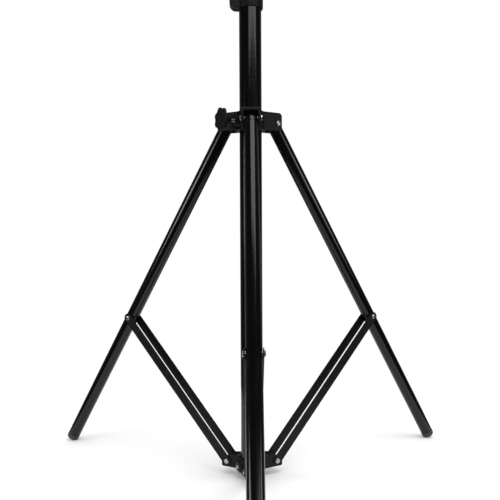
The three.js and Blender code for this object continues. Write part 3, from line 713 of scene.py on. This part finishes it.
def lower_collar():
    """Ring with three yokes and a flared boss, which is cut back to the ring before it joins."""
    inside_wall = LOWER_BORE + 0.8
    screw_r, screw_tip_r = 2.5, 1.8
    head_r, head_height = 4.4, 3.0
    ring = turned("lower_collar", soften([
        (LOWER_BORE, LOWER_LOW), (LOWER_R, LOWER_LOW), (LOWER_R, LOWER_RING_TOP),
        (LOWER_BORE, LOWER_RING_TOP),
    ], 0.8, closed=True), LARGE, closed=True)
    parts = lower_yokes(inside_wall)

    boss_root, boss_r, face_r = 14.3, 13.0, 8.6
    spot_r, spot = 5.4, 0.4
    boss = turned("boss", soften([
        (0, boss_root), (boss_r, boss_root), (boss_r, 24, 3.0), (boss_r - 1, 28, 4.0),
        (face_r, LOWER_BOSS_REACH, 1.0), (spot_r, LOWER_BOSS_REACH, 0.3),
        (spot_r - spot, LOWER_BOSS_REACH - spot, 0.2), (0, LOWER_BOSS_REACH - spot),
    ], 1.5), 72, place=LOWER_BOSS @ Matrix.Rotation(FACET_TURN, 4, "Z"))
    cut(boss, rod(inside_wall, -2, LOWER_HIGH + 2, segments=90))
    unite(ring, *parts)
    unite(ring, boss)
    cut(ring, rod(screw_r + GAP, 12, LOWER_BOSS_REACH + 1, LOWER_BOSS, 32))
    show(ring, "lower_collar", smooth_angle=28)

    base = LOWER_BOSS_REACH + GAP
    shank = [(0, LOWER_BORE), (screw_tip_r, LOWER_BORE), (screw_r, LOWER_BORE + TIP_TAPER), (screw_r, base)]
    screw = turned("screw", shank + dome(base, head_r, head_height), SMALL, place=LOWER_BOSS)
    cut(screw, hexagon(SOCKET, False, False, base + 1.2, base + 5, place=LOWER_BOSS))
    show(screw, "lower_collar_screw")

    for side, azimuth in LEGS.items():
        place = station(azimuth, BRACE_PIVOT_R, BRACE_PIVOT_Z) @ ALONG_X
        show(turned("rivet", rivet_profile(BRACE_OUTER + GAP), SMALL, place=place), f"lower_rivet_{side}")


# ------------------------------------------------------------------ mast clamp
CLAMP_LOW, CLAMP_HIGH = span("clamp_housing", 2)
CLAMP_R = 23.8
EAR_ROOT = 14.0
EAR_REACH = -span("clamp_housing", 0)[0]
EAR_LOW_CORNER = 12.0
EAR_TOP_CORNER = 8.0
EAR_HALF = 13.0
EAR_SLIT = 3.0
EAR_FACE = EAR_HALF + GAP
FIXING_R = 2.5
CLAMP_BOLT_R = 4.0


def on_ears(x, height):
    """Along +Y through the two ears, at a height above the clamp's lower edge."""
    return offset(x=x, z=CLAMP_LOW + height) @ ALONG_Y


FIXING_BOLT = on_ears(-25.0, 21)
CLAMP_BOLT = on_ears(-29.0, 55)


def clamp_housing():
    """Casting round the column's top with two pinch ears, bored and slit after they are joined."""
    core_r, draft, belt = COLUMN_R - 2, 0.4, 5.0
    slit = (24, EAR_SLIT, 200)
    slit_x, slit_z = -26, (CLAMP_LOW + CLAMP_HIGH) / 2
    ring = turned("clamp", soften([
        (core_r, CLAMP_LOW), (CLAMP_R - draft, CLAMP_LOW, 0.8), (CLAMP_R, CLAMP_LOW + belt, 2.0),
        (CLAMP_R, CLAMP_HIGH - belt, 2.0), (CLAMP_R - draft, CLAMP_HIGH, 1.0), (core_r, CLAMP_HIGH),
    ], 0.8, closed=True), LARGE, closed=True)
    side = Matrix.Rotation(-math.pi / 2, 4, "Z") @ LEG_PLANE
    low, top = EAR_LOW_CORNER, EAR_TOP_CORNER
    outline = ([(EAR_ROOT, CLAMP_LOW)] + arc(EAR_REACH - low, CLAMP_LOW + low, low, -90, 0)
               + arc(EAR_REACH - top, CLAMP_HIGH - top, top, 0, 90) + [(EAR_ROOT, CLAMP_HIGH)])
    thickness = EAR_HALF - EAR_SLIT / 2
    ears = [plate("ear", outline, thickness, edge=1.0,
                  place=side @ offset(z=direction * (EAR_SLIT / 2 + thickness / 2)))
            for direction in (1, -1)]
    unite(ring, *ears)
    cut(ring, rod(COLUMN_R + GAP, CLAMP_LOW - 2, CLAMP_HIGH + 2, segments=LARGE),
        block("slit", slit, offset(x=slit_x, z=slit_z)))
    cut(ring, rod(FIXING_R + GAP, -20, 20, FIXING_BOLT), rod(CLAMP_BOLT_R + GAP, -20, 20, CLAMP_BOLT))
    show(ring, "clamp_housing", smooth_angle=28)


def clamp_bushing():
    low, high = span("clamp_bushing", 2)
    bore, lip_r, edge = MAST_R + GAP, CLAMP_R - 1, 0.8
    seat = CLAMP_HIGH + GAP
    profile = soften([
        (bore, low), (COLUMN_R, low), (COLUMN_R, seat, 0.2), (lip_r, seat, 0.3),
        (lip_r, high - edge, 0.4), (lip_r - edge, high, 0.4), (bore, high, 0.5),
    ], 0.3, closed=True)
    show(turned("bushing", profile, LARGE, closed=True), "clamp_bushing")


def clamp_fasteners():
    """Lower bolt and nut, then the long bolt, washer and knob that pinch the mast."""
    tip, head_r, head_height = EAR_HALF + 6, 4.2, 3.0
    bolt = bolt_profile(FIXING_R, EAR_FACE, tip, head_r, head_height)
    fixing = turned("bolt", bolt, SMALL, place=FIXING_BOLT)
    cut(fixing, hexagon(SOCKET, False, False, -EAR_FACE - 5, -EAR_FACE - 1.4, place=FIXING_BOLT))
    show(fixing, "clamp_fixing_bolt")
    nut = hexagon(8, False, True, EAR_FACE, EAR_FACE + 4, FIXING_R + GAP, FIXING_BOLT)
    show(nut, "clamp_fixing_nut")

    washer_r, washer_top = 8, EAR_FACE + 1.6
    knob_base = washer_top + GAP
    hole = CLAMP_BOLT_R + GAP
    head = hexagon(13, True, False, -EAR_FACE - 5.3, -EAR_FACE, place=CLAMP_BOLT)
    shank_end = knob_base + 16
    unite(head, threaded("thread", CLAMP_BOLT_R, -EAR_FACE - 1, shank_end, pitch=1.25, place=CLAMP_BOLT))
    show(head, "clamp_bolt")
    washer = soften([(hole, EAR_FACE), (washer_r, EAR_FACE), (washer_r, washer_top), (hole, washer_top)],
                    0.3, closed=True)
    show(turned("washer", washer, 64, closed=True, place=CLAMP_BOLT), "clamp_washer")
    show(star_knob(knob_base, hub_length=12, hole_r=hole, hole_depth=17, place=CLAMP_BOLT), "clamp_knob")


# ------------------------------------------------------------------ sliding leg collar
COLLAR_LOW = LEG_PIVOT_Z - 13.5
COLLAR_HIGH = LEG_PIVOT_Z + 20.0
COLLAR_R = 25.0
COLLAR_BORE = 22.5
COLLAR_ROOT = 18.0                # yokes and cores are drawn from here, then the bore is cut
YOKE_REACH = 58.0
YOKE_INNER = LEG_R + 0.6
YOKE_OUTER = 17.8
YOKE_BRIDGE = 7.6
YOKE_LOW_CORNER = 4.0
YOKE_TOP_CORNER = 7.0
LOCK_Z = LEG_PIVOT_Z + 1
BOSS_REACH = 35.0
LOCK_SCREW_R = 3.0
PAD_R = 4.9
PAD_FACE = COLUMN_R + GAP + 0.1
PAD_BACK = PAD_FACE + 3
NUT_FLATS = 10
NUT_SEAT = 29.8
LOCK = station(KNOB_AZIMUTH, 0, LOCK_Z) @ OUTWARD


def collar_yokes():
    """Three yokes, each two cheeks with a bridge over the leg and a core at the ring."""
    low, top = YOKE_LOW_CORNER, YOKE_TOP_CORNER
    cheek_thickness = YOKE_OUTER - YOKE_INNER
    filling = 2 * YOKE_INNER + 4
    under = COLLAR_HIGH - YOKE_BRIDGE
    core_reach, core_low, core_high = 29, COLLAR_LOW + 0.2, COLLAR_HIGH - 1
    cheek = ([(COLLAR_ROOT, COLLAR_LOW)] + arc(YOKE_REACH - low, COLLAR_LOW + low, low, -90, 0)
             + arc(YOKE_REACH - top, COLLAR_HIGH - top, top, 0, 90) + [(COLLAR_ROOT, COLLAR_HIGH)])
    bridge = ([(COLLAR_ROOT, under), (YOKE_REACH - 1.2, under)]
              + arc(YOKE_REACH - top - 0.1, COLLAR_HIGH - top - 0.1, top, 8, 90)
              + [(COLLAR_ROOT, COLLAR_HIGH - 0.1)])
    core = soften([(COLLAR_ROOT, core_low), (core_reach, core_low), (core_reach, core_high),
                   (COLLAR_ROOT, core_high)], 1.5, closed=True)
    parts = []
    for azimuth in LEGS.values():
        here = station(azimuth) @ LEG_PLANE
        for direction in (1, -1):
            middle = direction * (YOKE_INNER + cheek_thickness / 2)
            parts.append(plate("cheek", cheek, cheek_thickness, edge=1.0,
                               holes=[(LEG_PIVOT_R, LEG_PIVOT_Z, PIN_R + GAP)],
                               place=here @ offset(z=middle)))
        parts.append(plate("bridge", bridge, filling, edge=0.6, place=here))
        parts.append(plate("core", core, filling, edge=0.6, place=here))
    return parts


def leg_collar():
    """Ring, yokes and lock boss in one moulding, with the pad's bore and the nut's pocket."""
    boss_r, neck_r = 13, 9.5
    ring = turned("leg_collar", soften([
        (COLUMN_R, COLLAR_LOW), (COLLAR_R, COLLAR_LOW), (COLLAR_R, COLLAR_HIGH), (COLUMN_R, COLLAR_HIGH),
    ], 1.0, closed=True), LARGE, closed=True)
    parts = collar_yokes()
    boss = turned("boss", soften([
        (0, 15), (boss_r, 15), (boss_r - 1, 25), (neck_r, 28.5), (neck_r, BOSS_REACH, 1.2), (0, BOSS_REACH),
    ], 1.5), 64, place=LOCK)
    unite(ring, *parts, boss)
    pocket = hexagon(NUT_FLATS + 2 * GAP, False, False, NUT_SEAT, BOSS_REACH + 2, place=LOCK)
    cut(ring, rod(COLLAR_BORE, COLLAR_LOW - 2, COLLAR_HIGH + 2, segments=LARGE))
    cut(ring, rod(PAD_R + GAP, 12, PAD_BACK + 3.5, LOCK), pocket)
    cut(ring, rod(LOCK_SCREW_R + GAP, 12, BOSS_REACH + 1, LOCK))
    show(ring, "leg_collar", smooth_angle=28)


def collar_bushing():
    """Liner on the column with a flange under the collar and a hole for the pad."""
    low, flange = span("collar_bushing", 2)[0], COLLAR_LOW - GAP
    inner, outer, flange_r = COLUMN_R + GAP, COLLAR_BORE - GAP, COLLAR_R + 2
    profile = soften([
        (inner, low, 0.6), (flange_r, low, 0.6), (flange_r, flange, 0.6),
        (outer, flange, 0.1), (outer, COLLAR_HIGH), (inner, COLLAR_HIGH),
    ], 0.4, closed=True)
    bushing = turned("bushing", profile, LARGE, closed=True)
    cut(bushing, rod(PAD_R + GAP, 12, 30, LOCK))
    show(bushing, "collar_bushing")


def collar_lock():
    hub_start = 45.0
    hole = LOCK_SCREW_R + GAP
    show(hexagon(NUT_FLATS, False, True, NUT_SEAT + GAP, BOSS_REACH, hole, LOCK), "lock_nut")
    pad = soften([(0, PAD_FACE), (PAD_R, PAD_FACE), (PAD_R, PAD_BACK), (0, PAD_BACK)], 0.4)
    show(turned("pad", pad, SMALL, place=LOCK), "lock_pad")
    screw = threaded("thread", LOCK_SCREW_R, PAD_BACK + GAP, hub_start + 14, pitch=1.0, place=LOCK)
    show(screw, "lock_screw")
    show(star_knob(hub_start, hub_length=13, hole_r=hole, hole_depth=15, place=LOCK), "lock_knob")


# ------------------------------------------------------------------ legs
LEG_PLUG_R = LEG_R - LEG_WALL - GAP
PLUG_SHOULDER = 14.0
PLUG_ROUND = 7.0                  # the rounded end starts this far below the hinge
PLUG_SPIGOT = 26.0
FOOT_SPIGOT = 18.0
BUSH_R = 4.5


def foot_profile():
    """Cap with a domed end, a rounded corner, two grip grooves, and a spigot up the tube."""
    top = -LEG_END + FOOT_BARREL
    corner_start = LEG_FOOT_R - FOOT_CORNER
    groove, slope, groove_width = 0.35, 0.25, 0.9
    end = [(0, -LEG_END - 0.8), (3.5, -LEG_END - 0.6), (corner_start, -LEG_END)]
    corner = [(corner_start + FOOT_CORNER * math.sin(a), -LEG_END + FOOT_CORNER * (1 - math.cos(a)))
              for a in (math.radians(90 * i / 12) for i in range(1, 13))]
    grooves = []
    for base in (6.6, 8.6):
        at = -LEG_END + base
        grooves += [(LEG_FOOT_R, at), (LEG_FOOT_R - groove, at + slope),
                    (LEG_FOOT_R - groove, at + groove_width - slope), (LEG_FOOT_R, at + groove_width)]
    shoulder = soften([
        (LEG_FOOT_R, top - 1.5), (LEG_FOOT_R, top, 0.6), (LEG_PLUG_R, top, 0.1),
        (LEG_PLUG_R, top + FOOT_SPIGOT, 0.8), (0, top + FOOT_SPIGOT),
    ], 0.3)
    return end + corner + grooves + shoulder


def leg(side, azimuth):
    """Tube, hinge plug, foot and bush, made about the leg's own axis with its hinge at zero."""
    axis = station(azimuth, LEG_PIVOT_R, LEG_PIVOT_Z, -LEG_SPREAD)
    bush_place = axis @ offset(z=-LEG_UPPER) @ ALONG_X
    profile = tube_profile(LEG_R, LEG_WALL, -LEG_END + FOOT_BARREL + GAP, -PLUG_SHOULDER - GAP)
    tube = turned("tube", profile, closed=True, place=axis)
    cut(tube, rod(BUSH_R + GAP, -20, 20, bush_place))
    show(tube, f"leg_tube_{side}")

    spigot_end = -PLUG_SHOULDER - PLUG_SPIGOT
    body = soften([(0, spigot_end), (LEG_PLUG_R, spigot_end), (LEG_PLUG_R, -PLUG_SHOULDER, 0.1),
                   (LEG_R, -PLUG_SHOULDER, 0.4), (LEG_R, -PLUG_ROUND - 1)], 0.5)
    end = arc(0, -PLUG_ROUND, LEG_R, 0, 84, 20) + [(0, LEG_R - PLUG_ROUND)]
    plug = turned("plug", body + end, place=axis)
    cut(plug, rod(PIN_R + GAP, -20, 20, axis @ ALONG_X))
    show(plug, f"leg_hinge_plug_{side}")

    show(turned("foot", foot_profile(), place=axis), f"foot_cap_{side}")
    bore, grip = PIN_R + GAP, BRACE_INNER - GAP
    bush = soften([(bore, -grip), (BUSH_R, -grip), (BUSH_R, grip), (bore, grip)], 0.3, closed=True)
    show(turned("bush", bush, SMALL, closed=True, place=bush_place), f"leg_bush_{side}")


def leg_hinge(side, azimuth):
    axis = station(azimuth, LEG_PIVOT_R, LEG_PIVOT_Z) @ ALONG_X
    face = YOKE_OUTER + GAP
    tip, nut_height = YOKE_OUTER + 3, 2.2
    bolt = bolt_profile(PIN_R, face, tip, HEAD_R, HEAD_HEIGHT)
    show(turned("bolt", bolt, SMALL, place=axis), f"leg_hinge_bolt_{side}")
    show(hexagon(9, False, True, face, face + nut_height, PIN_R + GAP, axis), f"leg_hinge_nut_{side}")


# ------------------------------------------------------------------ braces
BRACE_HALF_WIDTH = 8.8


def brace(side, azimuth):
    """Two strips that straddle the leg, each with a headed stub at its upper end."""
    outline = (arc(0, 0, BRACE_HALF_WIDTH, 180, 360, 24)
               + arc(0, BRACE_LENGTH, BRACE_HALF_WIDTH, 0, 180, 24))
    holes = [(0, end, PIN_R + GAP) for end in (0, BRACE_LENGTH)]
    stub = [(0, BRACE_INNER), (PIN_R, BRACE_INNER), (PIN_R, BRACE_OUTER + GAP)]
    stub += dome(BRACE_OUTER + GAP, HEAD_R, HEAD_HEIGHT)
    axis = station(azimuth, BRACE_PIVOT_R, BRACE_PIVOT_Z, BRACE_SPREAD)
    for hand, direction in (("a", 1), ("b", -1)):
        middle = direction * (BRACE_INNER + BRACE_THICKNESS / 2)
        strip = plate("strip", outline, BRACE_THICKNESS, edge=0.35, holes=holes,
                      place=axis @ offset(x=middle) @ LEG_PLANE)
        show(strip, f"brace_{side}_{hand}")
        facing = Matrix.Rotation(math.pi * (direction < 0), 4, "Z")
        end = axis @ offset(z=BRACE_LENGTH) @ facing @ ALONG_X
        show(turned("rivet", stub, SMALL, place=end), f"brace_rivet_{side}_{hand}")


# ------------------------------------------------------------------ studio
FLOOR_R = 600.0
FLOOR_CENTRE_Y = 100.0
FLOOR_SIDES = 256
FLOOR_DROP = 0.05                 # keeps the floor's face clear of the feet


def camera():
    """Seen from in front at 0.45 m, almost level, a normal lens at about 1.2 m."""
    data = bpy.data.cameras.new("camera")
    data.sensor_width = 36.0
    data.lens = 46.467
    data.clip_start = 0.05
    data.clip_end = 50.0
    obj = bpy.data.objects.new("camera", data)
    bpy.context.scene.collection.objects.link(obj)
    pitch, roll, azimuth = math.radians(-1.264), math.radians(-0.263), math.radians(-0.542)
    spot = Vector((-2.23, -1197.7, 444.5)) * MM
    upright = Matrix.Rotation(math.pi / 2 + pitch, 4, "X")
    obj.matrix_world = (Matrix.Rotation(azimuth, 4, "Z") @ Matrix.Translation(spot) @ upright
                        @ Matrix.Rotation(roll, 4, "Z"))
    bpy.context.scene.camera = obj


def softbox(name, spot, target, width, height, radiance):
    """Rectangular light of an even brightness over its face; lengths in metres."""
    data = bpy.data.lights.new(name, "AREA")
    data.shape = "RECTANGLE"
    data.size, data.size_y = width, height
    data.energy = radiance * math.pi * width * height
    obj = bpy.data.objects.new(name, data)
    bpy.context.scene.collection.objects.link(obj)
    aim = Vector(target) - Vector(spot)
    obj.matrix_world = Matrix.Translation(spot) @ aim.to_track_quat("-Z", "Y").to_matrix().to_4x4()


def white_room():
    """White to the camera and to diffuse light; reflections see a dark front and a dim back."""
    world = bpy.data.worlds.new("studio")
    bpy.context.scene.world = world
    world.use_nodes = True
    nodes, links = world.node_tree.nodes, world.node_tree.links
    nodes.clear()
    out = nodes.new("ShaderNodeOutputWorld")
    white = nodes.new("ShaderNodeBackground")
    white.inputs["Color"].default_value = (1, 1, 1, 1)
    mirrored = nodes.new("ShaderNodeBackground")
    direction = nodes.new("ShaderNodeTexCoord")
    split = nodes.new("ShaderNodeSeparateXYZ")
    ramp = nodes.new("ShaderNodeMapRange")
    ramp.interpolation_type = "SMOOTHSTEP"
    for key, value in {"From Min": 0.15, "From Max": 0.9, "To Min": 0.008, "To Max": 0.22}.items():
        ramp.inputs[key].default_value = value
    path = nodes.new("ShaderNodeLightPath")
    choose = nodes.new("ShaderNodeMixShader")
    links.new(direction.outputs["Generated"], split.inputs[0])
    links.new(split.outputs[1], ramp.inputs["Value"])
    links.new(ramp.outputs[0], mirrored.inputs["Color"])
    links.new(path.outputs["Is Glossy Ray"], choose.inputs[0])
    links.new(white.outputs[0], choose.inputs[1])
    links.new(mirrored.outputs[0], choose.inputs[2])
    links.new(choose.outputs[0], out.inputs[0])


def softboxes():
    softbox("overhead", (0.62, -0.65, 2.5), (0.62, -0.65, 0), width=1.9, height=1.0, radiance=3.4)
    softbox("front", (1.45, -3.75, 2.42), (0, 0, 0.8), width=6.2, height=0.66, radiance=3.6)
    softbox("left", (-1.8, -0.85, 0.62), (0, 0, 0.6), width=0.9, height=0.46, radiance=8.0)
    softbox("right", (1.8, -0.85, 0.6), (0, 0, 0.6), width=0.9, height=0.56, radiance=4.4)


def white_floor():
    """Matt white disc under the stand."""
    material = bpy.data.materials.new("pale_floor")
    material.use_nodes = True
    tree = material.node_tree
    shader = tree.nodes["Principled BSDF"]
    noise = tree.nodes.new("ShaderNodeTexNoise")
    noise.inputs["Scale"].default_value = 6.0
    ramp = tree.nodes.new("ShaderNodeMapRange")
    ramp.inputs["To Min"].default_value = 0.82
    ramp.inputs["To Max"].default_value = 0.86
    tree.links.new(noise.outputs["Fac"], ramp.inputs["Value"])
    tree.links.new(ramp.outputs[0], shader.inputs["Base Color"])
    shader.inputs["Roughness"].default_value = 0.9
    shader.inputs["Specular IOR Level"].default_value = 0.1
    turn = [2 * math.pi * i / FLOOR_SIDES for i in range(FLOOR_SIDES)]
    rim = [(FLOOR_R * math.cos(a), FLOOR_CENTRE_Y + FLOOR_R * math.sin(a), 0) for a in turn]
    floor = make_mesh("floor", rim, [tuple(range(FLOOR_SIDES))], offset(z=FLOOR_Z - FLOOR_DROP))
    floor.data.materials.append(material)


camera()
white_room()
softboxes()
bpy.context.scene.view_settings.view_transform = "Standard"
white_floor()
column()
mast()
lower_collar()
clamp_housing()
clamp_bushing()
clamp_fasteners()
leg_collar()
collar_bushing()
collar_lock()
for leg_side, leg_azimuth in LEGS.items():
    leg(leg_side, leg_azimuth)
    leg_hinge(leg_side, leg_azimuth)
for leg_side, leg_azimuth in LEGS.items():
    brace(leg_side, leg_azimuth)
